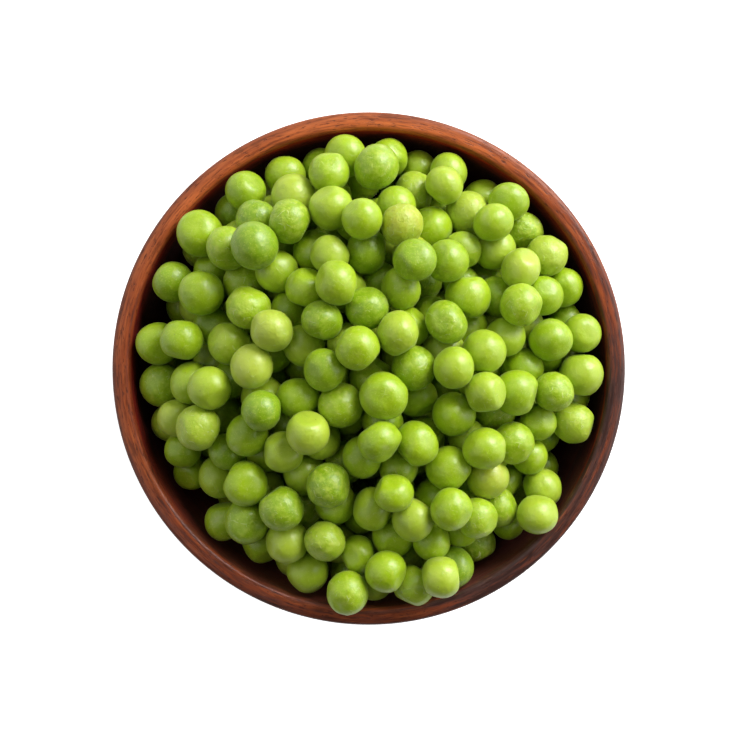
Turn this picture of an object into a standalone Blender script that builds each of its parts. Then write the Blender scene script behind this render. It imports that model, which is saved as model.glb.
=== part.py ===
"""A small turned wooden bowl, heaped with shelled green peas.

Metres, +Z up. The origin is the middle of the foot's underside, on the surface that the bowl
stands on. There are two pieces: the bowl, turned from one block of wood, and the heap of loose
peas in it, fused into one solid.
"""

import math
import random

import bmesh
import bpy
import numpy as np
from mathutils import Quaternion, Vector

MM = 0.001

# The bowl's driving sizes
BOWL_RADIUS = 55 * MM
BOWL_HEIGHT = 46 * MM
RIM_THICKNESS = 4 * MM
FLOOR_THICKNESS = 7 * MM
FLOOR_RADIUS = 19 * MM
FOOT_RADIUS = 25 * MM
FOOT_HEIGHT = 3 * MM
FOOT_CHAMFER = 0.6 * MM
RECESS_RADIUS = 18 * MM
RECESS_DEPTH = 1.2 * MM

# The peas' driving sizes
PEA_RADIUS = 4.5 * MM
PEA_SIZE_SPREAD = 0.055
PEA_SIZE_LIMIT = 0.1
MOUND_HEIGHT = 16 * MM
POCKET_LEVEL = 43 * MM
HANDFUL_COUNT = 60
HANDFUL_REACH = 0.88
PEA_SEED = 15

# How the peas come to rest: they press a little into each other, and stay clear of the wood
PRESS = 0.96
WOOD_GAP = 0.8 * MM
RIM_ROOM = 0.9
POCKET_TRIES = 400
HANDFUL_TRIES = 6
ROLL_DIRECTIONS = 12
FIRST_ROLL = 0.5
LAST_ROLL = 0.01
PLACE_DIGITS = 7

# The solid under the outer peas, which they are rooted in
CORE_COVER = 4.5 * MM
CORE_INSET = 1.8 * MM
CORE_FLOOR_GAP = 1.2 * MM
TOP_DEPTH = 1 * MM
SEEN_DEPTH = 9 * MM
HIDDEN_SHARE = 4
FACET_PROUD = 1.08
PEA_TURN_SEED = 4

# Facets
BOWL_SIDES = 52
CORE_SIDES = 32
CURVE_STEPS = 9
RIM_STEPS = 6
FINE_CURVE_STEPS = 60
TOP_PEA_SIDES = (6, 4)
MERGE = 0.01 * MM
SMOOTH_ANGLE = math.radians(60)

INNER_RADIUS = BOWL_RADIUS - RIM_THICKNESS
LIP_RADIUS = RIM_THICKNESS / 2
LIP_BASE = BOWL_HEIGHT - LIP_RADIUS


def clear_scene():
    for obj in list(bpy.data.objects):
        bpy.data.objects.remove(obj)


def new_collection(name):
    collection = bpy.data.collections.new(name)
    bpy.context.scene.collection.children.link(collection)
    return collection


def new_material(name, colour, roughness):
    material = bpy.data.materials.new(name)
    material.use_nodes = True
    shader = material.node_tree.nodes["Principled BSDF"]
    shader.inputs["Base Color"].default_value = (*colour, 1.0)
    shader.inputs["Roughness"].default_value = roughness
    shader.inputs["Metallic"].default_value = 0.0
    material.diffuse_color = (*colour, 1.0)
    return material


def quarter_ellipse(start, end, steps):
    """Points from start, where the curve runs level, to end, where it runs upright."""
    points = []
    for step in range(steps + 1):
        turn = 0.5 * math.pi * step / steps
        across = start[0] + (end[0] - start[0]) * math.sin(turn)
        up = start[1] + (end[1] - start[1]) * (1 - math.cos(turn))
        points.append((across, up))
    return points


def inside_curve(steps):
    """The hollow's wall, from the edge of its flat floor up to the lip."""
    return quarter_ellipse((FLOOR_RADIUS, FLOOR_THICKNESS), (INNER_RADIUS, LIP_BASE), steps)


def lip_curve(steps):
    """The half-round lip, from inside to outside, without its two ends."""
    turns = [math.pi * (1 - step / steps) for step in range(1, steps)]
    middle = BOWL_RADIUS - LIP_RADIUS
    return [(middle + LIP_RADIUS * math.cos(turn), LIP_BASE + LIP_RADIUS * math.sin(turn)) for turn in turns]


def bowl_profile():
    """Half of the bowl's section, from the axis inside, over the lip and down to the axis below."""
    outside = quarter_ellipse((FOOT_RADIUS, FOOT_HEIGHT), (BOWL_RADIUS, LIP_BASE), CURVE_STEPS)
    foot = [
        (FOOT_RADIUS, FOOT_CHAMFER),
        (FOOT_RADIUS - FOOT_CHAMFER, 0.0),
        (RECESS_RADIUS + RECESS_DEPTH, 0.0),
        (RECESS_RADIUS, RECESS_DEPTH),
        (0.0, RECESS_DEPTH),
    ]
    inside = [(0.0, FLOOR_THICKNESS), *inside_curve(CURVE_STEPS)]
    return [*inside, *lip_curve(RIM_STEPS), *reversed(outside), *foot]


def turned_piece(name, profile, sides, material, collection):
    """A solid turned round the Z axis from a profile that starts and ends on it."""
    mesh = bpy.data.meshes.new(name)
    points = [(across, 0.0, up) for across, up in profile]
    mesh.from_pydata(points, [(i, i + 1) for i in range(len(points) - 1)], [])
    mesh.materials.append(material)
    piece = bpy.data.objects.new(name, mesh)
    collection.objects.link(piece)
    screw = piece.modifiers.new("turning", "SCREW")
    screw.axis = "Z"
    screw.angle = 2 * math.pi
    screw.steps = sides
    screw.render_steps = sides
    screw.use_merge_vertices = True
    screw.merge_threshold = MERGE
    screw.use_smooth_shade = True
    return piece


def mound(across):
    """How far the heap's surface rises over its edge, at a distance from the axis."""
    return MOUND_HEIGHT * (1 - (across / INNER_RADIUS) ** 2)


def wood_points():
    """Close points along the hollow's section, which a pea can come to rest on."""
    floor = [(FLOOR_RADIUS * step / FINE_CURVE_STEPS, FLOOR_THICKNESS) for step in range(FINE_CURVE_STEPS)]
    return np.array([*floor, *inside_curve(FINE_CURVE_STEPS), *lip_curve(FINE_CURVE_STEPS)])


def resting_heights(x, y, radius, wood, peas):
    """The lowest height for the centre of a pea over each point, on the wood and the peas so far."""
    out = np.hypot(x, y)
    clear = radius + WOOD_GAP
    away = out[:, None] - wood[None, :, 0]
    over_wood = wood[None, :, 1] + np.sqrt(np.maximum(clear**2 - away**2, 0.0))
    heights = np.where(np.abs(away) < clear, over_wood, 0.0).max(axis=1)
    if len(peas):
        touch = PRESS * (radius + peas[None, :, 3])
        level = (x[:, None] - peas[None, :, 0]) ** 2 + (y[:, None] - peas[None, :, 1]) ** 2
        over_peas = peas[None, :, 2] + np.sqrt(np.maximum(touch**2 - level, 0.0))
        heights = np.maximum(heights, np.where(level < touch**2, over_peas, 0.0).max(axis=1))
    return np.where(out > INNER_RADIUS - RIM_ROOM * radius, np.inf, heights)


def lowest_try(draw, tries, reach, radius, wood, peas):
    """The point, out of a few random ones in the bowl, where the pea lies lowest under the mound."""
    turns = np.array([draw.uniform(0, 2 * math.pi) for _ in range(tries)])
    out = reach * np.sqrt([draw.random() for _ in range(tries)])
    x, y = out * np.cos(turns), out * np.sin(turns)
    heights = resting_heights(x, y, radius, wood, peas)
    best = int(np.argmin(heights - mound(out)))
    return x[best], y[best], heights[best]


def rolled(x, y, height, radius, wood, peas):
    """Where a pea set down there ends up, once it has rolled to the bottom of its pocket."""
    turns = np.arange(ROLL_DIRECTIONS) * 2 * math.pi / ROLL_DIRECTIONS
    step = FIRST_ROLL * radius
    while step > LAST_ROLL * radius:
        next_x, next_y = x + step * np.cos(turns), y + step * np.sin(turns)
        heights = resting_heights(next_x, next_y, radius, wood, peas)
        best = int(np.argmin(heights))
        if heights[best] < height:
            x, y, height = next_x[best], next_y[best], heights[best]
        else:
            step /= 2
    return x, y, height


def pea_radius(draw):
    size = max(-PEA_SIZE_LIMIT, min(PEA_SIZE_LIMIT, draw.gauss(0, PEA_SIZE_SPREAD)))
    return PEA_RADIUS * (1 + size)


def poured_peas():
    """All the peas, as rows of x, y, z and radius.

    Each one takes the lowest pocket that it finds, until the heap is up to the mound. A last
    handful lands more at random, and lies on top.
    """
    draw = random.Random(PEA_SEED)
    wood = wood_points()
    peas = np.zeros((0, 4))
    handful = 0
    while handful < HANDFUL_COUNT:
        radius = pea_radius(draw)
        reach = INNER_RADIUS - radius
        tries = POCKET_TRIES
        if handful:
            reach *= HANDFUL_REACH
            tries = HANDFUL_TRIES
        x, y, height = lowest_try(draw, tries, reach, radius, wood, peas)
        x, y, height = rolled(x, y, height, radius, wood, peas)
        if handful or height - mound(math.hypot(x, y)) > POCKET_LEVEL:
            handful += 1
        pea = np.round([[x, y, height, radius]], PLACE_DIGITS)
        peas = np.vstack([peas, pea])
    return peas


def core_profile():
    """Section of the heap's inside: the mound less its cover, and the hollow less an inset."""
    edge = INNER_RADIUS - CORE_INSET
    level = POCKET_LEVEL - CORE_COVER
    dome = [(edge * step / CURVE_STEPS, level + mound(edge * step / CURVE_STEPS)) for step in range(CURVE_STEPS + 1)]
    wall = [(across - CORE_INSET, up + CORE_FLOOR_GAP) for across, up in reversed(inside_curve(CURVE_STEPS))]
    side = [(across, up) for across, up in wall if up < level]
    return [*dome, *side, (0.0, FLOOR_THICKNESS + CORE_FLOOR_GAP)]


def finer_ball(shape):
    bmesh.ops.create_uvsphere(shape, u_segments=TOP_PEA_SIDES[0], v_segments=TOP_PEA_SIDES[1], radius=1.0)


def plainer_ball(shape):
    bmesh.ops.create_icosphere(shape, subdivisions=1, radius=1.0)


def ball_mesh(name, make_ball, material):
    """A ball of radius 1 with few sides, which many peas share."""
    shape = bmesh.new()
    make_ball(shape)
    mesh = bpy.data.meshes.new(name)
    shape.to_mesh(mesh)
    shape.free()
    mesh.materials.append(material)
    return mesh


def towards_support(number, peas):
    """The direction from a pea to the one that it lies on most closely."""
    before = peas[:max(number, 1)]
    away = before[:, :3] - peas[number, :3]
    gaps = np.linalg.norm(away, axis=1) - before[:, 3]
    return Vector(away[int(np.argmin(gaps))])


def place_peas(peas, material, collection):
    """A ball for each pea that can be seen, finer on top, and for a share of those below.

    A ball's pole is a corner, and it points at the pea below, so that the two are sure to meet.
    """
    draw = random.Random(PEA_TURN_SEED)
    top_ball = ball_mesh("top_pea", finer_ball, material)
    low_ball = ball_mesh("low_pea", plainer_ball, material)
    for number, (x, y, height, radius) in enumerate(peas):
        depth = POCKET_LEVEL + mound(math.hypot(x, y)) - height
        if depth > SEEN_DEPTH and number % HIDDEN_SHARE:
            continue
        pea = bpy.data.objects.new(f"pea_{number:03d}", top_ball if depth < TOP_DEPTH else low_ball)
        turn = towards_support(number, peas).to_track_quat("Z", "Y")
        spin = Quaternion((0, 0, 1), draw.uniform(0, 2 * math.pi))
        pea.location = (x, y, height)
        pea.rotation_euler = (turn @ spin).to_euler()
        pea.scale = [FACET_PROUD * radius] * 3
        collection.objects.link(pea)


def fuse(piece, collection):
    """Joins a collection's objects to the piece by one Boolean union, and removes them."""
    union = piece.modifiers.new("fused peas", "BOOLEAN")
    union.operation = "UNION"
    union.operand_type = "COLLECTION"
    union.collection = collection
    union.solver = "EXACT"
    evaluated = piece.evaluated_get(bpy.context.evaluated_depsgraph_get())
    fused = bpy.data.meshes.new_from_object(evaluated)
    piece.modifiers.clear()
    piece.data = fused
    for obj in list(collection.objects):
        bpy.data.objects.remove(obj)
    bpy.data.collections.remove(collection)


def pea_heap(material, collection):
    heap = turned_piece("pea_heap", core_profile(), CORE_SIDES, material, collection)
    loose = new_collection("loose peas")
    place_peas(poured_peas(), material, loose)
    fuse(heap, loose)
    heap.data.shade_smooth()
    heap.data.set_sharp_from_angle(angle=SMOOTH_ANGLE)


def main():
    clear_scene()
    collection = new_collection("bowl of peas")
    wood = new_material("oiled wood", (0.23, 0.06, 0.025), 0.38)
    green = new_material("pea skin", (0.33, 0.52, 0.06), 0.36)
    turned_piece("bowl", bowl_profile(), BOWL_SIDES, wood, collection)
    pea_heap(green, collection)


main()
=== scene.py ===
"""A small turned wooden bowl, heaped with shelled green peas.

The frame gives the solid bowl and the solid heap, in metres, +Z up. The bowl is turned again here
with a fine profile and an oiled wood finish, and every pea of the heap is made again where the
heap has it, with its own form and ripeness.
"""

import math
import random

import bmesh
import bpy
import numpy as np
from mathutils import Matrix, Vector


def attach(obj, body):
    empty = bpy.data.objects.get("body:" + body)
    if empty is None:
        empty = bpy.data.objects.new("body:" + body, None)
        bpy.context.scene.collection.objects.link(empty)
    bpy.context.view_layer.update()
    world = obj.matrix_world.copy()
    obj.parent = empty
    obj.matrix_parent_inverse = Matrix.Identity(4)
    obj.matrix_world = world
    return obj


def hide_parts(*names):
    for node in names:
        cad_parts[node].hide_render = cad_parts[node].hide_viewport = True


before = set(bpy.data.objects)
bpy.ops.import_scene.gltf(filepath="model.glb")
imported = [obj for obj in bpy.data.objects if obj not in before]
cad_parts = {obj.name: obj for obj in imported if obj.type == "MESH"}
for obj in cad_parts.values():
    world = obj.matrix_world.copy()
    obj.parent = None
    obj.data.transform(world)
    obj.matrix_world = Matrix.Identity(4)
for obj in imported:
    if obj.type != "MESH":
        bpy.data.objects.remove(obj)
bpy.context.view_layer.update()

bl_info = {
    "name": "Wooden bowl of green peas",
    "version": (1, 0, 0),
    "blender": (4, 5, 0),
    "location": "View3D > Sidebar > Peas",
    "description": "Builds a turned wooden bowl heaped with shelled green peas",
    "category": "Add Mesh",
}

MM = 0.001

# How the peas come to rest, as in the solid heap
PEA_SIZE_LIMIT = 0.1
HANDFUL_REACH = 0.88
PRESS = 0.96
WOOD_GAP = 0.8 * MM
RIM_ROOM = 0.9
POCKET_TRIES = 400
HANDFUL_TRIES = 6
ROLL_DIRECTIONS = 12
FIRST_ROLL = 0.5
LAST_ROLL = 0.01
PLACE_DIGITS = 7
FINE_CURVE_STEPS = 60

# Fineness of the meshes: peas less than the seen depth under the heap's surface get the finer ball
BOWL_SIDES = 288
CURVE_STEPS = 56
RIM_STEPS = 20
FLOOR_RINGS = 12
SEEN_DEPTH = 10 * MM
SEEN_BALL = 4
HIDDEN_BALL = 3
BASKET_COUNT = 10

# The lip's squareness, 2 for the half round one of the solid bowl, and the eased edges of the foot
ROUND_LIP = 2.0
FLAT_LIP = 3.2
FOOT_CHAMFER = 0.6 * MM
FOOT_EASE = 0.2 * MM

# The painted shade in the hollow: how far below the lip's top it is darkest, the part of that way which
# is still the lip, and the Y from which the painted shade gets less towards the lower side, which is
# painted lighter as if lit
SHADE_DEPTH = 7 * MM
LIP_PART = 0.28
LIT_SIDE_FROM_Y = -12 * MM
LIT_SIDE_TO_Y = -48 * MM
LIT_SIDE_SHADE = 0.2
# Painted light on the lower inner wall, then painted shade on the lip's inner side and deep in the hollow
PAINTED_LIT_WALL_COLOUR = (0.24, 0.085, 0.06)
LIP_SHADE_COLOUR = (0.7, 0.05, 0.06)
LIP_SHADE_STRENGTH = 0.9
HOLLOW_SHADE_COLOUR = (0.022, 0.005, 0.004)
HOLLOW_SHADE_STRENGTH = 0.92
HOLLOW_DULLNESS = 0.65

# The wood's tone rises towards one side as painted light, falls towards the other as painted shade, and
# rises towards both ends of the board that it was turned from
TOWARDS_LIT_SIDE = (-3.7, 6.1, 0)
ALONG_BOARD = (0.35, 0.937, 0)
END_TONE = 73.6
BROAD_TONE = 0.55
NARROW_TONE = 0.4
CLOUD_TONE = 0.2
TONE_RANGE = (0.11, 1.41)
TONE_STOPS = (0.0, 0.14, 0.4, 1.0)
DEEPEST_SHADE = 0.55
# Painted shade: the lip's outer edge darkens towards grey over this width, where it turns away from the
# light
SHADED_EDGE_WIDTH = 2.4 * MM
SHADED_EDGE_STRENGTH = 0.6

# Streaks of the wood: how many round the bowl, how many a metre across, and the noise from faint to full
BROAD_STREAKS = (2.5, 500.0, 0.3, 0.7)
NARROW_STREAKS = (5.0, 1300.0, 0.36, 0.64)
DARK_STREAKS = (12.0, 2300.0, 0.5, 0.64)
PALE_STREAKS = (9.0, 2900.0, 0.6, 0.72)
PORES = (32.0, 3800.0, 0.57, 0.65)
TICKS = (70.0, 1500.0, 0.66, 0.72)

# Patches: their size, the noise from faint to full, and their detail
WOOD_CLOUDS = (30 * MM, 0.3, 0.7, 2.0)
SKIN_SHADES = (4.5 * MM, 0.42, 0.68, 3.0)
SKIN_BLOOM = (1.1 * MM, 0.45, 0.72, 6.0)
SKIN_FLECKS = (0.3 * MM, 0.56, 0.68, 3.0)
SKIN_SPECKS = (0.6 * MM, 0.72, 0.77, 2.0)
SCRATCHED = (1.2 * MM, 0.54, 0.62, 2.0)
FLOOR_CLOUDS = (400 * MM, 0.2, 0.8, 2.0)

# The peas' skin
VEINS_A_METRE = 420.0
VEIN_WIDTH = 0.035
SCRATCH_COLOUR = (0.55, 0.66, 0.22)
SPECK_COLOUR = (0.13, 0.15, 0.02)
SCAR_COLOUR = (0.5, 0.58, 0.2)

# The skin's bumps: how many a metre, their detail, their roughness and how far they are bent
DIMPLES = (420.0, 3.0, 0.55, 0.6)
WRINKLES = (700.0, 3.0, 0.6, 2.5)
GRIT = (3200.0, 3.0, 0.6, 0.0)

# The peas' forms, in parts of a pea's radius. A pair is a range that is drawn from, and a pea that
# draws less than 0 for its wrinkles or its nub has none. Waves are their count, slowest and quickest.
SHAPE_SEED = 70
SEEDS_APART = 1000
PEA_FULLNESS = 0.965
STRETCH = (-0.11, 0.04)
POD_PRESSES = ((), (1,), (1,), (1, -1), (1, -1))
POD_PRESS_TILT = 0.25
POD_PRESS_HEIGHT = (0.78, 0.91)
POD_PRESS_SOFTNESS = 0.05
SIDE_PRESSES = (0, 1, 2)
SIDE_PRESS_HEIGHT = (0.84, 0.95)
SIDE_PRESS_SOFTNESS = 0.04
LEAN = (0, 0.05)
SWELL = 0.02
SWELL_WAVES = (5, 1.5, 5.0)
WRINKLE = 0.012
WRINKLE_WAVES = (14, 10.0, 18.0)
WRINKLED = (-1.5, 1.0)
NUB_HEIGHT = (-0.08, 0.09)
NUB_WIDTH = 0.04
SCAR_LENGTH = 0.24
SCAR_WIDTH = 0.11
SCAR_DEPTH = 0.03

# Ripeness: 0 is the greenest skin, 1 the palest, and over that it is yellow
YELLOW_SHARE = 0.02
YELLOW_RIPENESS = (1.15, 1.3)
USUAL_RIPENESS = 0.48
RIPENESS_SPREAD = 0.22

# The light: each softbox's turn from +X and rise over the table, in degrees, and its width in metres
LIGHT_TARGET = (0, 0, 40 * MM)
LIGHT_DISTANCE = 700 * MM
KEY_SOFTBOX = (50, 31, 0.4)
SIDE_SOFTBOX = (5, 28, 0.6)
FILL_SOFTBOX = (155, 32, 1.6)

# The light table's glow is full from the second distance on, so that no horizon shows
GLOW_DISTANCES = (0.25, 0.8)


def exact(value):
    """A property's value as it was typed: Blender keeps it as a 32-bit number."""
    return round(value, 7)


class BowlSettings(bpy.types.PropertyGroup):
    radius: bpy.props.FloatProperty(
        name="Radius",
        description="From the axis to the outside of the lip",
        default=0.055,
        unit="LENGTH",
    )
    height: bpy.props.FloatProperty(
        name="Height",
        description="From the table to the top of the lip",
        default=0.046,
        unit="LENGTH",
    )
    rim_thickness: bpy.props.FloatProperty(
        name="Rim thickness", description="Width of the lip", default=0.004, unit="LENGTH"
    )
    floor_thickness: bpy.props.FloatProperty(
        name="Floor height",
        description="From the table to the floor of the hollow",
        default=0.007,
        unit="LENGTH",
    )
    floor_radius: bpy.props.FloatProperty(
        name="Floor radius",
        description="Radius of the flat part of the hollow",
        default=0.019,
        unit="LENGTH",
    )
    foot_radius: bpy.props.FloatProperty(
        name="Foot radius", description="Radius of the foot", default=0.025, unit="LENGTH"
    )
    foot_height: bpy.props.FloatProperty(
        name="Foot height", description="Height of the foot", default=0.003, unit="LENGTH"
    )
    recess_radius: bpy.props.FloatProperty(
        name="Recess radius",
        description="Radius of the hollow under the foot",
        default=0.018,
        unit="LENGTH",
    )
    recess_depth: bpy.props.FloatProperty(
        name="Recess depth",
        description="Depth of the hollow under the foot",
        default=0.0012,
        unit="LENGTH",
    )
    dark_colour: bpy.props.FloatVectorProperty(
        name="Dark grain",
        description="Colour of the dark streaks and the pores",
        subtype="COLOR",
        default=(0.035, 0.009, 0.005),
    )
    # The darker and lighter stops of the wood's tone also carry the painted shade and the painted light
    # of the bowl's two sides
    grey_colour: bpy.props.FloatVectorProperty(
        name="Darker wood and painted shade",
        description="Colour of the darker side",
        subtype="COLOR",
        default=(0.073, 0.031, 0.025),
    )
    main_colour: bpy.props.FloatVectorProperty(
        name="Wood",
        description="Main colour of the oiled wood",
        subtype="COLOR",
        default=(0.25, 0.049, 0.014),
    )
    light_colour: bpy.props.FloatVectorProperty(
        name="Lighter wood and painted light",
        description="Colour of the lighter side",
        subtype="COLOR",
        default=(0.60, 0.15, 0.038),
    )


class PeaSettings(bpy.types.PropertyGroup):
    radius: bpy.props.FloatProperty(
        name="Pea radius", description="Average radius of a pea", default=0.0045, unit="LENGTH"
    )
    spread: bpy.props.FloatProperty(
        name="Spread", description="How much the sizes vary", default=0.055, subtype="FACTOR"
    )
    mound_height: bpy.props.FloatProperty(
        name="Mound",
        description="How far the heap rises in the middle",
        default=0.016,
        unit="LENGTH",
    )
    pocket_level: bpy.props.FloatProperty(
        name="Level",
        description="Height of the topmost pockets at the edge",
        default=0.043,
        unit="LENGTH",
    )
    handful: bpy.props.IntProperty(
        name="Handful", description="Loose peas that lie on top", default=60
    )
    seed: bpy.props.IntProperty(name="Seed", description="Seed of the pour", default=15)
    young_colour: bpy.props.FloatVectorProperty(
        name="Young",
        description="Skin of the greenest peas",
        subtype="COLOR",
        default=(0.20, 0.34, 0.002),
    )
    main_colour: bpy.props.FloatVectorProperty(
        name="Pea", description="Skin of most peas", subtype="COLOR", default=(0.33, 0.49, 0.003)
    )
    pale_colour: bpy.props.FloatVectorProperty(
        name="Pale",
        description="Skin of the palest peas, and their bloom",
        subtype="COLOR",
        default=(0.455, 0.56, 0.055),
    )
    ripe_colour: bpy.props.FloatVectorProperty(
        name="Ripe",
        description="Skin of the few yellow peas",
        subtype="COLOR",
        default=(0.40, 0.42, 0.008),
    )


class StageSettings(bpy.types.PropertyGroup):
    camera_distance: bpy.props.FloatProperty(
        name="Camera distance",
        description="From the lip's widest ring up to the camera",
        default=0.22,
        unit="LENGTH",
    )
    camera_place: bpy.props.FloatVectorProperty(
        name="Camera place",
        description="Where the camera is over the bowl",
        size=2,
        default=(-0.00015, 0.0001),
        unit="LENGTH",
    )
    lens: bpy.props.FloatProperty(
        name="Lens", description="Focal length in millimetres", default=50.0
    )
    floor_size: bpy.props.FloatProperty(
        name="Floor", description="Width of the white floor", default=3.0, unit="LENGTH"
    )
    key_power: bpy.props.FloatProperty(
        name="Key light", description="Power of the main softbox", default=7.0
    )
    side_power: bpy.props.FloatProperty(
        name="Side light", description="Power of the wider softbox beside it", default=2.4
    )
    fill_power: bpy.props.FloatProperty(
        name="Fill light", description="Power of the widest softbox, opposite", default=6.4
    )
    surroundings: bpy.props.FloatProperty(
        name="Surroundings", description="Light from the white surroundings", default=0.03
    )
    floor_glow: bpy.props.FloatProperty(
        name="Floor glow",
        description="How white the light table looks by itself near the bowl",
        default=0.83,
    )


def quarter_ellipse(start, end, steps):
    """Points from start, where the curve runs level, to end, where it runs upright."""
    points = []
    for step in range(steps + 1):
        turn = 0.5 * math.pi * step / steps
        across = start[0] + (end[0] - start[0]) * math.sin(turn)
        up = start[1] + (end[1] - start[1]) * (1 - math.cos(turn))
        points.append((across, up))
    return points


def inside_curve(bowl, steps):
    """The hollow's wall, from the edge of its flat floor up to the lip."""
    rim_thickness = exact(bowl.rim_thickness)
    start = (exact(bowl.floor_radius), exact(bowl.floor_thickness))
    end = (exact(bowl.radius) - rim_thickness, exact(bowl.height) - rim_thickness / 2)
    return quarter_ellipse(start, end, steps)


def lip_curve(bowl, steps, squareness):
    """The lip, from inside to outside, without its two ends: the squarer, the flatter on top."""
    lip_radius = exact(bowl.rim_thickness) / 2
    middle = exact(bowl.radius) - lip_radius
    base = exact(bowl.height) - lip_radius
    points = []
    for step in range(1, steps):
        turn = math.pi * (1 - step / steps)
        across = math.copysign(abs(math.cos(turn)) ** (2 / squareness), math.cos(turn))
        up = math.sin(turn) ** (2 / squareness)
        points.append((middle + lip_radius * across, base + lip_radius * up))
    return points


def new_object(name, mesh, material):
    piece = bpy.data.objects.new(name, mesh)
    bpy.context.scene.collection.objects.link(piece)
    mesh.materials.append(material)
    return piece


class Nodes:
    """A shader tree with short calls to add and link nodes."""

    def __init__(self, tree):
        self.tree = tree

    def add(self, kind, values=None, **settings):
        node = self.tree.nodes.new(kind)
        for key, value in settings.items():
            setattr(node, key, value)
        for key, value in (values or {}).items():
            self.give(node.inputs[key], value)
        return node

    def give(self, socket, value):
        """Links a socket, or sets its value."""
        if isinstance(value, bpy.types.NodeSocket):
            self.tree.links.new(value, socket)
        else:
            socket.default_value = value

    def math(self, operation, first, second):
        return self.add("ShaderNodeMath", {0: first, 1: second}, operation=operation).outputs[0]

    def times(self, first, second):
        return self.math("MULTIPLY", first, second)

    def total(self, first, *others):
        for other in others:
            first = self.math("ADD", first, other)
        return first

    def vector_math(self, operation, *vectors, result="Value"):
        values = dict(enumerate(vectors))
        return self.add("ShaderNodeVectorMath", values, operation=operation).outputs[result]

    def split(self, vector):
        """The outputs X, Y and Z of a vector."""
        return self.add("ShaderNodeSeparateXYZ", {"Vector": vector}).outputs

    def joined(self, x, y, z=0.0):
        return self.add("ShaderNodeCombineXYZ", {"X": x, "Y": y, "Z": z}).outputs[0]

    def mix(self, factor, first, second, blend="MIX"):
        node = self.add("ShaderNodeMix", data_type="RGBA", blend_type=blend)
        inputs = {item.identifier: item for item in node.inputs}
        self.give(inputs["Factor_Float"], factor)
        for name, colour in (("A_Color", first), ("B_Color", second)):
            linked = isinstance(colour, bpy.types.NodeSocket)
            self.give(inputs[name], colour if linked else (*colour, 1.0))
        return next(item for item in node.outputs if item.identifier == "Result_Color")

    def layer(self, colour, mask, strength, over):
        """Lays another colour over a colour where the mask is, as strongly as given."""
        return self.mix(self.times(mask, strength), colour, over)

    def spread(self, value, low, high, to_low=0.0, to_high=1.0):
        """Takes value's range from low to high onto to_low to to_high, and stops there."""
        values = {"Value": value, "From Min": low, "From Max": high, "To Min": to_low, "To Max": to_high}
        return self.add("ShaderNodeMapRange", values).outputs["Result"]

    def noise(self, place, scale, detail, roughness=0.5, distortion=0.0):
        values = {"Vector": place, "Scale": scale, "Detail": detail, "Roughness": roughness}
        return self.add("ShaderNodeTexNoise", {**values, "Distortion": distortion}).outputs["Fac"]

    def attribute(self, name):
        return self.add("ShaderNodeAttribute", attribute_name=name).outputs["Fac"]

    def mask(self, group, place, names, values):
        """Places a group that puts out a mask, with its own values by name."""
        inputs = {"Vector": place, **dict(zip(names, values))}
        return self.add("ShaderNodeGroup", inputs, node_tree=group).outputs["Mask"]


def mask_group(name, inputs):
    """A shader node group that puts out a mask, with the sockets that its material sets."""
    group = bpy.data.node_groups.new(name, "ShaderNodeTree")
    group.interface.new_socket("Vector", in_out="INPUT", socket_type="NodeSocketVector")
    for socket_name, default in inputs.items():
        socket = group.interface.new_socket(socket_name, in_out="INPUT", socket_type="NodeSocketFloat")
        socket.default_value = default
    group.interface.new_socket("Mask", in_out="OUTPUT", socket_type="NodeSocketFloat")
    given = group.nodes.new("NodeGroupInput").outputs
    mask = group.nodes.new("NodeGroupOutput").inputs["Mask"]
    return group, Nodes(group), given, mask


def patches_group():
    """Soft patches: a mask of cloudy spots, from faint to full, at the size that is asked for."""
    inputs = {"Size": 0.001, "From": 0.45, "To": 0.7, "Detail": 4.0}
    group, nodes, given, mask = mask_group("Patches", inputs)
    scale = nodes.math("DIVIDE", 1.0, given["Size"])
    noise = nodes.noise(given["Vector"], scale, given["Detail"])
    nodes.give(mask, nodes.spread(noise, given["From"], given["To"]))
    return group


def turned_grain_group():
    """Streaks that run round a turned piece, finer across them than along them."""
    inputs = {"Streaks Round": 4.0, "Streaks Across": 900.0, "From": 0.35, "To": 0.65}
    group, nodes, given, mask = mask_group("Turned grain", inputs)
    place = nodes.split(given["Vector"])
    level = nodes.joined(place["X"], place["Y"])
    across = nodes.times(nodes.vector_math("LENGTH", level), given["Streaks Across"])
    up = nodes.times(place["Z"], given["Streaks Across"])
    direction = nodes.vector_math("NORMALIZE", level, result="Vector")
    values = {0: direction, "Scale": given["Streaks Round"]}
    turn = nodes.split(nodes.add("ShaderNodeVectorMath", values, operation="SCALE").outputs["Vector"])
    streak_place = nodes.joined(turn["X"], turn["Y"], across)
    values = {"Vector": streak_place, "W": up, "Scale": 1.0, "Detail": 3.0, "Roughness": 0.6}
    noise = nodes.add("ShaderNodeTexNoise", values, noise_dimensions="4D").outputs["Fac"]
    nodes.give(mask, nodes.spread(noise, given["From"], given["To"]))
    return group


def patches(nodes, place, values):
    group = bpy.data.node_groups.get("Patches") or patches_group()
    return nodes.mask(group, place, ("Size", "From", "To", "Detail"), values)


def streaks(nodes, place, values):
    group = bpy.data.node_groups.get("Turned grain") or turned_grain_group()
    return nodes.mask(group, place, ("Streaks Round", "Streaks Across", "From", "To"), values)


def new_material(name):
    material = bpy.data.materials.new(name)
    material.use_nodes = True
    nodes = Nodes(material.node_tree)
    shader = material.node_tree.nodes["Principled BSDF"].inputs
    place = nodes.add("ShaderNodeTexCoord").outputs["Object"]
    return material, nodes, shader, place


def bumped(nodes, shader, height, strength, distance):
    values = {"Height": height, "Strength": strength, "Distance": distance}
    nodes.give(shader["Normal"], nodes.add("ShaderNodeBump", values).outputs["Normal"])


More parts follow.
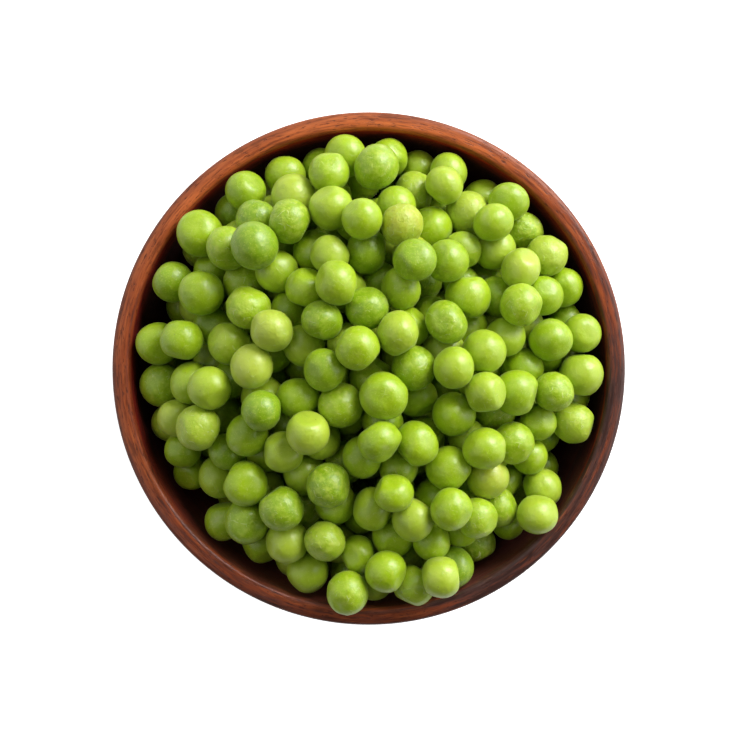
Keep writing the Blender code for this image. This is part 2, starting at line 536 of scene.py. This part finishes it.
def wood_tone(bowl, nodes, place, narrow):
    """The wood's colour: painted shade on one side and painted light on the other, over the wood's own
    streaks and clouds.
    """
    # Painted light and shade: the tone rises towards the upper left, where the rim is lit, and falls
    # towards the lower right
    side = nodes.vector_math("DOT_PRODUCT", place, TOWARDS_LIT_SIDE)
    along = nodes.vector_math("DOT_PRODUCT", place, ALONG_BOARD)
    ends = nodes.times(nodes.times(along, along), END_TONE)
    broad = nodes.times(streaks(nodes, place, BROAD_STREAKS), BROAD_TONE)
    cloud = nodes.times(patches(nodes, place, WOOD_CLOUDS), CLOUD_TONE)
    tone = nodes.total(side, ends, broad, nodes.times(narrow, NARROW_TONE), cloud)
    ramp = nodes.add("ShaderNodeValToRGB", {"Fac": nodes.spread(tone, *TONE_RANGE)})
    deepest = [DEEPEST_SHADE * part for part in bowl.grey_colour]
    colours = (deepest, bowl.grey_colour, bowl.main_colour, bowl.light_colour)
    while len(ramp.color_ramp.elements) < len(colours):
        ramp.color_ramp.elements.new(0.5)
    for element, stop, colour in zip(ramp.color_ramp.elements, TONE_STOPS, colours):
        element.position = stop
        element.color = (*colour, 1.0)
    return ramp.outputs["Color"]


def painted_hollow_shade(nodes, inside, painted_shade_side, colour):
    """The wood's colour with painted shade down the hollow's wall and under the lip, and painted light on
    the wall's lower side.
    """
    # Painted light: the lower side of the hollow's wall is made paler, where it is lit
    painted_lit_wall = nodes.times(nodes.spread(inside, 0.0, 1.5 * LIP_PART), nodes.math("SUBTRACT", 1.0, painted_shade_side))
    # Painted shade: the lip's inner side is darkened, most in green and blue, and the deeper wall is
    # painted nearly black
    lip_painted_shade = nodes.times(nodes.spread(inside, 0.0, LIP_PART, 0.0, LIP_SHADE_STRENGTH), painted_shade_side)
    deep_painted_shade = nodes.times(nodes.spread(inside, LIP_PART, 1.0, 0.0, HOLLOW_SHADE_STRENGTH), painted_shade_side)
    colour = nodes.mix(painted_lit_wall, colour, PAINTED_LIT_WALL_COLOUR)
    colour = nodes.mix(lip_painted_shade, colour, LIP_SHADE_COLOUR, "MULTIPLY")
    return nodes.mix(deep_painted_shade, colour, HOLLOW_SHADE_COLOUR)


def oiled_wood(bowl):
    material, nodes, shader, place = new_material("oiled wood")
    axes = nodes.split(place)
    out = nodes.vector_math("LENGTH", nodes.joined(axes["X"], axes["Y"]))
    inside = nodes.attribute("inside")
    # Painted shade mask: full on the upper side of the hollow, less towards the lower side, where the
    # wall is painted as lit
    painted_shade_side = nodes.spread(axes["Y"], LIT_SIDE_TO_Y, LIT_SIDE_FROM_Y, LIT_SIDE_SHADE, 1.0)
    narrow = streaks(nodes, place, NARROW_STREAKS)
    streak = streaks(nodes, place, DARK_STREAKS)
    pore = streaks(nodes, place, PORES)
    tick = streaks(nodes, place, TICKS)

    # Painted shade: the lip's outer edge is mixed towards grey where it turns away from the light
    shaded_edge_start = exact(bowl.radius) - SHADED_EDGE_WIDTH
    edge = nodes.spread(out, shaded_edge_start, exact(bowl.radius), 0.0, SHADED_EDGE_STRENGTH)
    colour = nodes.mix(edge, wood_tone(bowl, nodes, place, narrow), bowl.grey_colour)
    marks = (
        (streak, 0.5, bowl.dark_colour),
        (streaks(nodes, place, PALE_STREAKS), 0.3, bowl.light_colour),
        (pore, 0.75, bowl.dark_colour),
        (tick, 0.85, bowl.dark_colour),
    )
    for mask, strength, mark_colour in marks:
        colour = nodes.layer(colour, mask, strength, mark_colour)
    nodes.give(shader["Base Color"], painted_hollow_shade(nodes, inside, painted_shade_side, colour))

    dull = nodes.times(nodes.spread(inside, 0.0, LIP_PART, 0.0, HOLLOW_DULLNESS), painted_shade_side)
    nodes.give(shader["Roughness"], nodes.total(nodes.spread(narrow, 0.0, 1.0, 0.32, 0.44), dull))
    nodes.give(shader["Coat Weight"], nodes.spread(painted_shade_side, 0.35, 0.95, 0.3, 0.04))
    shader["Coat Roughness"].default_value = 0.15
    shader["Specular IOR Level"].default_value = 0.25
    depth = nodes.total(pore, tick, nodes.times(streak, 0.5))
    bumped(nodes, shader, nodes.times(depth, -1.0), 0.4, 0.1 * MM)
    return material


def pea_skin(peas):
    material, nodes, shader, place = new_material("pea skin")
    ripe, scar, wrinkled = (nodes.attribute(name) for name in ("ripeness", "scar", "wrinkled"))
    shade = patches(nodes, place, SKIN_SHADES)
    bloom = patches(nodes, place, SKIN_BLOOM)
    cells = nodes.add(
        "ShaderNodeTexVoronoi", {"Vector": place, "Scale": VEINS_A_METRE}, feature="DISTANCE_TO_EDGE"
    )
    vein = nodes.spread(cells.outputs["Distance"], 0.0, VEIN_WIDTH, 1.0, 0.0)
    scratch = nodes.times(vein, patches(nodes, place, SCRATCHED))

    colour = nodes.mix(nodes.spread(ripe, 0.0, 0.5), peas.young_colour, peas.main_colour)
    colour = nodes.mix(nodes.spread(ripe, 0.5, 1.0), colour, peas.pale_colour)
    yellow = nodes.times(nodes.spread(ripe, 1.1, 1.3), nodes.spread(shade, 0.0, 1.0, 1.0, 0.25))
    colour = nodes.mix(yellow, colour, peas.ripe_colour)
    colour = nodes.layer(colour, shade, 0.32, peas.young_colour)
    bloom_strength = nodes.total(nodes.times(wrinkled, 0.7), 0.32)
    colour = nodes.layer(colour, bloom, bloom_strength, peas.pale_colour)
    colour = nodes.layer(colour, patches(nodes, place, SKIN_FLECKS), 0.6, peas.pale_colour)
    colour = nodes.layer(colour, scratch, nodes.total(wrinkled, 0.2), SCRATCH_COLOUR)
    colour = nodes.layer(colour, patches(nodes, place, SKIN_SPECKS), 0.6, SPECK_COLOUR)
    nodes.give(shader["Base Color"], nodes.layer(colour, scar, 0.5, SCAR_COLOUR))

    nodes.give(shader["Roughness"], nodes.spread(bloom, 0.0, 1.0, 0.38, 0.5))
    shader["Coat Weight"].default_value = 0.27
    shader["Coat Roughness"].default_value = 0.27
    shader["Subsurface Weight"].default_value = 0.25
    shader["Subsurface Radius"].default_value = (0.7, 1.0, 0.3)
    shader["Subsurface Scale"].default_value = 1.1 * MM
    shader["Sheen Weight"].default_value = 0.12
    shader["Sheen Roughness"].default_value = 0.35
    shader["Sheen Tint"].default_value = (0.85, 0.95, 0.6, 1.0)

    dimple = nodes.noise(place, *DIMPLES)
    wrinkle = nodes.times(nodes.noise(place, *WRINKLES), wrinkled)
    grit = nodes.times(nodes.noise(place, *GRIT), 0.2)
    height = nodes.total(dimple, grit, wrinkle, nodes.times(scratch, 0.15))
    bumped(nodes, shader, height, 0.7, 0.28 * MM)
    return material


def white_floor(glow):
    material, nodes, shader, place = new_material("white floor")
    cloud = patches(nodes, place, FLOOR_CLOUDS)
    nodes.give(shader["Base Color"], nodes.mix(cloud, (0.92, 0.92, 0.915), (0.93, 0.93, 0.93)))
    shader["Roughness"].default_value = 0.7
    shader["Emission Color"].default_value = (1, 1, 1, 1)
    seen = nodes.add("ShaderNodeLightPath").outputs["Is Camera Ray"]
    glow_there = nodes.spread(nodes.vector_math("LENGTH", place), *GLOW_DISTANCES, glow, 1.0)
    nodes.give(shader["Emission Strength"], nodes.times(seen, glow_there))
    return material


def bowl_profile(bowl):
    """Half of the bowl's section, from the axis inside, over the lip and down to the axis below."""
    floor_radius, floor_level = exact(bowl.floor_radius), exact(bowl.floor_thickness)
    foot_radius, foot_height = exact(bowl.foot_radius), exact(bowl.foot_height)
    recess_radius, recess_depth = exact(bowl.recess_radius), exact(bowl.recess_depth)
    lip_base = exact(bowl.height) - exact(bowl.rim_thickness) / 2
    outside = quarter_ellipse((foot_radius, foot_height), (exact(bowl.radius), lip_base), CURVE_STEPS)
    floor = [(floor_radius * ring / FLOOR_RINGS, floor_level) for ring in range(FLOOR_RINGS)]
    foot = [
        (foot_radius, FOOT_CHAMFER),
        (foot_radius - FOOT_EASE, FOOT_EASE),
        (foot_radius - FOOT_CHAMFER, 0.0),
        (recess_radius + recess_depth, 0.0),
        (recess_radius + FOOT_EASE, recess_depth - FOOT_EASE),
        (recess_radius - FOOT_EASE, recess_depth),
        (recess_radius / 2, recess_depth),
        (0.0, recess_depth),
    ]
    inside = [*floor, *inside_curve(bowl, CURVE_STEPS)]
    return [*inside, *lip_curve(bowl, RIM_STEPS, FLAT_LIP), *reversed(outside), *foot]


def inside_shares(bowl, profile):
    """How far each profile point is down into the bowl: 0 from the lip's top outwards, 1 deep inside."""
    top = profile.index(max(profile, key=lambda point: point[1]))
    shares = [min(1.0, (exact(bowl.height) - up) / SHADE_DEPTH) for _, up in profile[:top]]
    return shares + [0.0] * (len(profile) - top)


def turned_mesh(name, profile, shares, sides):
    """A closed mesh turned round the Z axis from a profile that starts and ends on it."""
    shape = bmesh.new()
    share_layer = shape.verts.layers.float.new("inside")
    rings = []
    for (across, up), share in zip(profile, shares):
        turns = [2 * math.pi * side / sides for side in range(sides if across else 1)]
        ring = [shape.verts.new((across * math.cos(turn), across * math.sin(turn), up)) for turn in turns]
        for vert in ring:
            vert[share_layer] = share
        rings.append(ring)
    for upper, lower in zip(rings, rings[1:]):
        for side in range(sides):
            after = (side + 1) % sides
            corners = [upper[side % len(upper)], lower[side % len(lower)]]
            corners += [lower[after % len(lower)], upper[after % len(upper)]]
            shape.faces.new(dict.fromkeys(corners))
    bmesh.ops.recalc_face_normals(shape, faces=shape.faces)
    mesh = bpy.data.meshes.new(name)
    shape.to_mesh(mesh)
    shape.free()
    mesh.shade_smooth()
    return mesh


def mound(bowl, peas, across):
    """How far the heap's surface rises over its edge, at a distance from the axis."""
    inner_radius = exact(bowl.radius) - exact(bowl.rim_thickness)
    return exact(peas.mound_height) * (1 - (across / inner_radius) ** 2)


def wood_points(bowl):
    """Close points along the solid hollow's section, which a pea can come to rest on."""
    radius, level = exact(bowl.floor_radius), exact(bowl.floor_thickness)
    floor = [(radius * step / FINE_CURVE_STEPS, level) for step in range(FINE_CURVE_STEPS)]
    lip = lip_curve(bowl, FINE_CURVE_STEPS, ROUND_LIP)
    return np.array([*floor, *inside_curve(bowl, FINE_CURVE_STEPS), *lip])


class Pour:
    """Pours the peas one by one, by the rule that the solid heap was made with."""

    def __init__(self, bowl, peas):
        self.bowl = bowl
        self.settings = peas
        self.inner_radius = exact(bowl.radius) - exact(bowl.rim_thickness)
        self.wood = wood_points(bowl)
        self.peas = np.zeros((0, 4))

    def resting_heights(self, x, y, radius):
        """The lowest height for the centre of a pea over each point, on the wood and the peas so far."""
        out = np.hypot(x, y)
        clear = radius + WOOD_GAP
        away = out[:, None] - self.wood[None, :, 0]
        over_wood = self.wood[None, :, 1] + np.sqrt(np.maximum(clear**2 - away**2, 0.0))
        heights = np.where(np.abs(away) < clear, over_wood, 0.0).max(axis=1)
        peas = self.peas
        if len(peas):
            touch = PRESS * (radius + peas[None, :, 3])
            level = (x[:, None] - peas[None, :, 0]) ** 2 + (y[:, None] - peas[None, :, 1]) ** 2
            over_peas = peas[None, :, 2] + np.sqrt(np.maximum(touch**2 - level, 0.0))
            heights = np.maximum(heights, np.where(level < touch**2, over_peas, 0.0).max(axis=1))
        return np.where(out > self.inner_radius - RIM_ROOM * radius, np.inf, heights)

    def lowest_try(self, draw, tries, reach, radius):
        """The point, out of a few random ones in the bowl, where the pea lies lowest under the mound."""
        turns = np.array([draw.uniform(0, 2 * math.pi) for _ in range(tries)])
        out = reach * np.sqrt([draw.random() for _ in range(tries)])
        x, y = out * np.cos(turns), out * np.sin(turns)
        heights = self.resting_heights(x, y, radius)
        best = int(np.argmin(heights - mound(self.bowl, self.settings, out)))
        return x[best], y[best], heights[best]

    def rolled(self, x, y, height, radius):
        """Where a pea set down there ends up, once it has rolled to the bottom of its pocket."""
        turns = np.arange(ROLL_DIRECTIONS) * 2 * math.pi / ROLL_DIRECTIONS
        step = FIRST_ROLL * radius
        while step > LAST_ROLL * radius:
            next_x, next_y = x + step * np.cos(turns), y + step * np.sin(turns)
            heights = self.resting_heights(next_x, next_y, radius)
            best = int(np.argmin(heights))
            if heights[best] < height:
                x, y, height = next_x[best], next_y[best], heights[best]
            else:
                step /= 2
        return x, y, height

    def pea_radius(self, draw):
        size = draw.gauss(0, exact(self.settings.spread))
        return exact(self.settings.radius) * (1 + max(-PEA_SIZE_LIMIT, min(PEA_SIZE_LIMIT, size)))

    def run(self):
        """All the peas, as rows of x, y, z and radius.

        Each one takes the lowest pocket that it finds, until the heap is up to the mound. A last
        handful lands more at random, and lies on top.
        """
        draw = random.Random(self.settings.seed)
        handful = 0
        while handful < self.settings.handful:
            radius = self.pea_radius(draw)
            reach = self.inner_radius - radius
            tries = POCKET_TRIES
            if handful:
                reach *= HANDFUL_REACH
                tries = HANDFUL_TRIES
            x, y, height = self.lowest_try(draw, tries, reach, radius)
            x, y, height = self.rolled(x, y, height, radius)
            over_edge = height - mound(self.bowl, self.settings, math.hypot(x, y))
            if handful or over_edge > exact(self.settings.pocket_level):
                handful += 1
            pea = np.round([[x, y, height, radius]], PLACE_DIGITS)
            self.peas = np.vstack([self.peas, pea])
        return self.peas


def ball(level):
    """Corners and faces of a round ball of radius 1."""
    shape = bmesh.new()
    bmesh.ops.create_icosphere(shape, subdivisions=level, radius=1.0)
    corners = np.array([vert.co[:] for vert in shape.verts])
    faces = np.array([[vert.index for vert in face.verts] for face in shape.faces])
    shape.free()
    return corners, faces


def random_direction(draw):
    direction = np.array([draw.gauss(0, 1) for _ in range(3)])
    return direction / np.linalg.norm(direction)


def pressed_flat(points, direction, height, softness):
    """Points pushed in along a direction, where they stand further out than the height."""
    over = (points @ direction - height) / softness
    push = softness * np.logaddexp(0.0, over)
    return points - push[:, None] * direction


def waves(corners, draw, count, slowest, quickest):
    """Soft random swells over a ball, mostly between -1 and 1."""
    height = np.zeros(len(corners))
    for _ in range(count):
        wave = random_direction(draw) * draw.uniform(slowest, quickest)
        height += np.cos(corners @ wave + draw.uniform(0, 2 * math.pi))
    return height / math.sqrt(count)


def scar_mask(corners, draw):
    """A short stroke on one side of the ball, 1 in its middle, where the pea hung in its pod."""
    middle = random_direction(draw)
    along = np.cross(middle, random_direction(draw))
    along /= np.linalg.norm(along)
    beside = np.cross(middle, along)
    near = np.maximum(corners @ middle, 0.0) ** 2
    stretch = ((corners @ along) / SCAR_LENGTH) ** 2 + ((corners @ beside) / SCAR_WIDTH) ** 2
    return near * np.exp(-stretch)


def pea_form(corners, wrinkled, draw):
    """One pea's own form, at radius 1, and its scar.

    It is squashed, pressed flat by its neighbours in the pod, waved, and has a nub.
    """
    axis = random_direction(draw)
    points = corners + draw.uniform(*STRETCH) * (corners @ axis)[:, None] * axis
    for way in draw.choice(POD_PRESSES):
        tilted = way * axis + POD_PRESS_TILT * random_direction(draw)
        tilted /= np.linalg.norm(tilted)
        points = pressed_flat(points, tilted, draw.uniform(*POD_PRESS_HEIGHT), POD_PRESS_SOFTNESS)
    for _ in range(draw.choice(SIDE_PRESSES)):
        side = random_direction(draw)
        points = pressed_flat(points, side, draw.uniform(*SIDE_PRESS_HEIGHT), SIDE_PRESS_SOFTNESS)
    swell = draw.uniform(*LEAN) * (corners @ random_direction(draw))
    swell += SWELL * waves(corners, draw, *SWELL_WAVES)
    swell += WRINKLE * wrinkled * waves(corners, draw, *WRINKLE_WAVES)
    nub_height = max(0.0, draw.uniform(*NUB_HEIGHT))
    swell += nub_height * np.exp((corners @ random_direction(draw) - 1) / NUB_WIDTH)
    scar = scar_mask(corners, draw)
    swell -= SCAR_DEPTH * scar
    points = points * (1 + swell)[:, None]
    return points * PEA_FULLNESS / np.linalg.norm(points, axis=1).mean(), scar


def ripeness(draw):
    """From 0 for the greenest peas to 1 for the palest; a few are past that, and yellow."""
    if draw.random() < YELLOW_SHARE:
        return draw.uniform(*YELLOW_RIPENESS)
    return min(1.0, max(0.0, draw.gauss(USUAL_RIPENESS, RIPENESS_SPREAD)))


def basket_mesh(name, peas, depths, numbers):
    """One mesh of many peas, each with its form, its ripeness, its scar and its wrinkles."""
    seen, hidden = ball(SEEN_BALL), ball(HIDDEN_BALL)
    points, faces = [], []
    layers = {"ripeness": [], "scar": [], "wrinkled": []}
    count = 0
    for number in numbers:
        draw = random.Random(SHAPE_SEED * SEEDS_APART + int(number))
        corners, ball_faces = seen if depths[number] < SEEN_DEPTH else hidden
        wrinkled = max(0.0, draw.uniform(*WRINKLED))
        form, scar = pea_form(corners, wrinkled, draw)
        points.append(peas[number, :3] + peas[number, 3] * form)
        faces.append(ball_faces + count)
        layers["ripeness"].append(np.full(len(corners), ripeness(draw)))
        layers["scar"].append(scar)
        layers["wrinkled"].append(np.full(len(corners), wrinkled))
        count += len(corners)
    mesh = bpy.data.meshes.new(name)
    mesh.from_pydata(np.concatenate(points), [], np.concatenate(faces))
    for attribute, values in layers.items():
        layer = mesh.attributes.new(attribute, "FLOAT", "POINT")
        layer.data.foreach_set("value", np.concatenate(values).astype(np.float32))
    mesh.shade_smooth()
    return mesh


class PEAS_OT_bowl(bpy.types.Operator):
    """Turn the wooden bowl"""

    bl_idname = "peas.turn_bowl"
    bl_label = "Turn the bowl"

    def execute(self, context):
        bowl = context.scene.bowl_settings
        profile = bowl_profile(bowl)
        mesh = turned_mesh("turned_bowl", profile, inside_shares(bowl, profile), BOWL_SIDES)
        piece = new_object("turned_bowl", mesh, oiled_wood(bowl))
        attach(piece, "root")
        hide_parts("bowl")
        return {"FINISHED"}


class PEAS_OT_pour(bpy.types.Operator):
    """Pour the peas into the bowl"""

    bl_idname = "peas.pour_peas"
    bl_label = "Pour the peas"

    def execute(self, context):
        bowl, settings = context.scene.bowl_settings, context.scene.pea_settings
        peas = Pour(bowl, settings).run()
        out = np.hypot(peas[:, 0], peas[:, 1])
        depths = exact(settings.pocket_level) + mound(bowl, settings, out) - peas[:, 2]
        skin = pea_skin(settings)
        seen = np.flatnonzero(depths < SEEN_DEPTH)
        baskets = {f"top_peas_{basket + 1}": seen[basket::BASKET_COUNT] for basket in range(BASKET_COUNT)}
        baskets["deep_peas"] = np.flatnonzero(depths >= SEEN_DEPTH)
        for name, numbers in baskets.items():
            piece = new_object(name, basket_mesh(name, peas, depths, numbers), skin)
            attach(piece, "root")
            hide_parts("pea_heap")
        return {"FINISHED"}


def softbox(name, shape, power):
    """A square light round the bowl that faces the peas."""
    turn, rise, width = shape
    lamp = bpy.data.lights.new(name, "AREA")
    lamp.shape = "SQUARE"
    lamp.size = width
    lamp.energy = power
    light = bpy.data.objects.new(name, lamp)
    across, up = math.cos(math.radians(rise)), math.sin(math.radians(rise))
    away = Vector((across * math.cos(math.radians(turn)), across * math.sin(math.radians(turn)), up))
    light.location = Vector(LIGHT_TARGET) + LIGHT_DISTANCE * away
    towards = Vector(LIGHT_TARGET) - light.location
    light.rotation_euler = towards.to_track_quat("-Z", "Y").to_euler()
    bpy.context.scene.collection.objects.link(light)


def white_surroundings(strength):
    """A world that gives a little light, and looks white to the camera."""
    world = bpy.data.worlds.new("white surroundings")
    world.use_nodes = True
    background = world.node_tree.nodes["Background"].inputs
    background["Color"].default_value = (1, 1, 1, 1)
    nodes = Nodes(world.node_tree)
    seen = nodes.add("ShaderNodeLightPath").outputs["Is Camera Ray"]
    nodes.give(background["Strength"], nodes.spread(seen, 0.0, 1.0, strength, 1.0))
    return world


class PEAS_OT_stage(bpy.types.Operator):
    """Set the floor, the light and the camera"""

    bl_idname = "peas.set_stage"
    bl_label = "Set the stage"

    def execute(self, context):
        scene = context.scene
        stage, bowl = scene.stage_settings, scene.bowl_settings
        half = stage.floor_size / 2
        corners = [(-half, -half, 0), (half, -half, 0), (half, half, 0), (-half, half, 0)]
        mesh = bpy.data.meshes.new("floor")
        mesh.from_pydata(corners, [], [(0, 1, 2, 3)])
        new_object("floor", mesh, white_floor(stage.floor_glow))

        softbox("key_softbox", KEY_SOFTBOX, stage.key_power)
        softbox("side_softbox", SIDE_SOFTBOX, stage.side_power)
        softbox("fill_softbox", FILL_SOFTBOX, stage.fill_power)
        scene.world = white_surroundings(stage.surroundings)
        scene.view_settings.view_transform = "Standard"

        camera = bpy.data.cameras.new("camera")
        camera.lens = stage.lens
        camera.clip_start = 10 * MM
        eye = bpy.data.objects.new("camera", camera)
        ring_height = exact(bowl.height) - exact(bowl.rim_thickness) / 2
        eye.location = (*stage.camera_place, ring_height + stage.camera_distance)
        scene.collection.objects.link(eye)
        scene.camera = eye
        return {"FINISHED"}


class PEAS_PT_panel(bpy.types.Panel):
    """The bowl's, the peas' and the stage's settings"""

    bl_label = "Bowl of peas"
    bl_idname = "PEAS_PT_panel"
    bl_space_type = "VIEW_3D"
    bl_region_type = "UI"
    bl_category = "Peas"

    def draw(self, context):
        parts = (
            ("bowl_settings", PEAS_OT_bowl),
            ("pea_settings", PEAS_OT_pour),
            ("stage_settings", PEAS_OT_stage),
        )
        for settings_name, operator in parts:
            settings = getattr(context.scene, settings_name)
            box = self.layout.box()
            for name in settings.__annotations__:
                box.prop(settings, name)
            box.operator(operator.bl_idname)


CLASSES = (
    BowlSettings,
    PeaSettings,
    StageSettings,
    PEAS_OT_bowl,
    PEAS_OT_pour,
    PEAS_OT_stage,
    PEAS_PT_panel,
)


def register():
    for cls in CLASSES:
        bpy.utils.register_class(cls)
    bpy.types.Scene.bowl_settings = bpy.props.PointerProperty(type=BowlSettings)
    bpy.types.Scene.pea_settings = bpy.props.PointerProperty(type=PeaSettings)
    bpy.types.Scene.stage_settings = bpy.props.PointerProperty(type=StageSettings)


def unregister():
    del bpy.types.Scene.stage_settings
    del bpy.types.Scene.pea_settings
    del bpy.types.Scene.bowl_settings
    for cls in reversed(CLASSES):
        bpy.utils.unregister_class(cls)


def main():
    register()
    bpy.ops.peas.set_stage()
    bpy.ops.peas.turn_bowl()
    bpy.ops.peas.pour_peas()


if __name__ == "__main__":
    main()
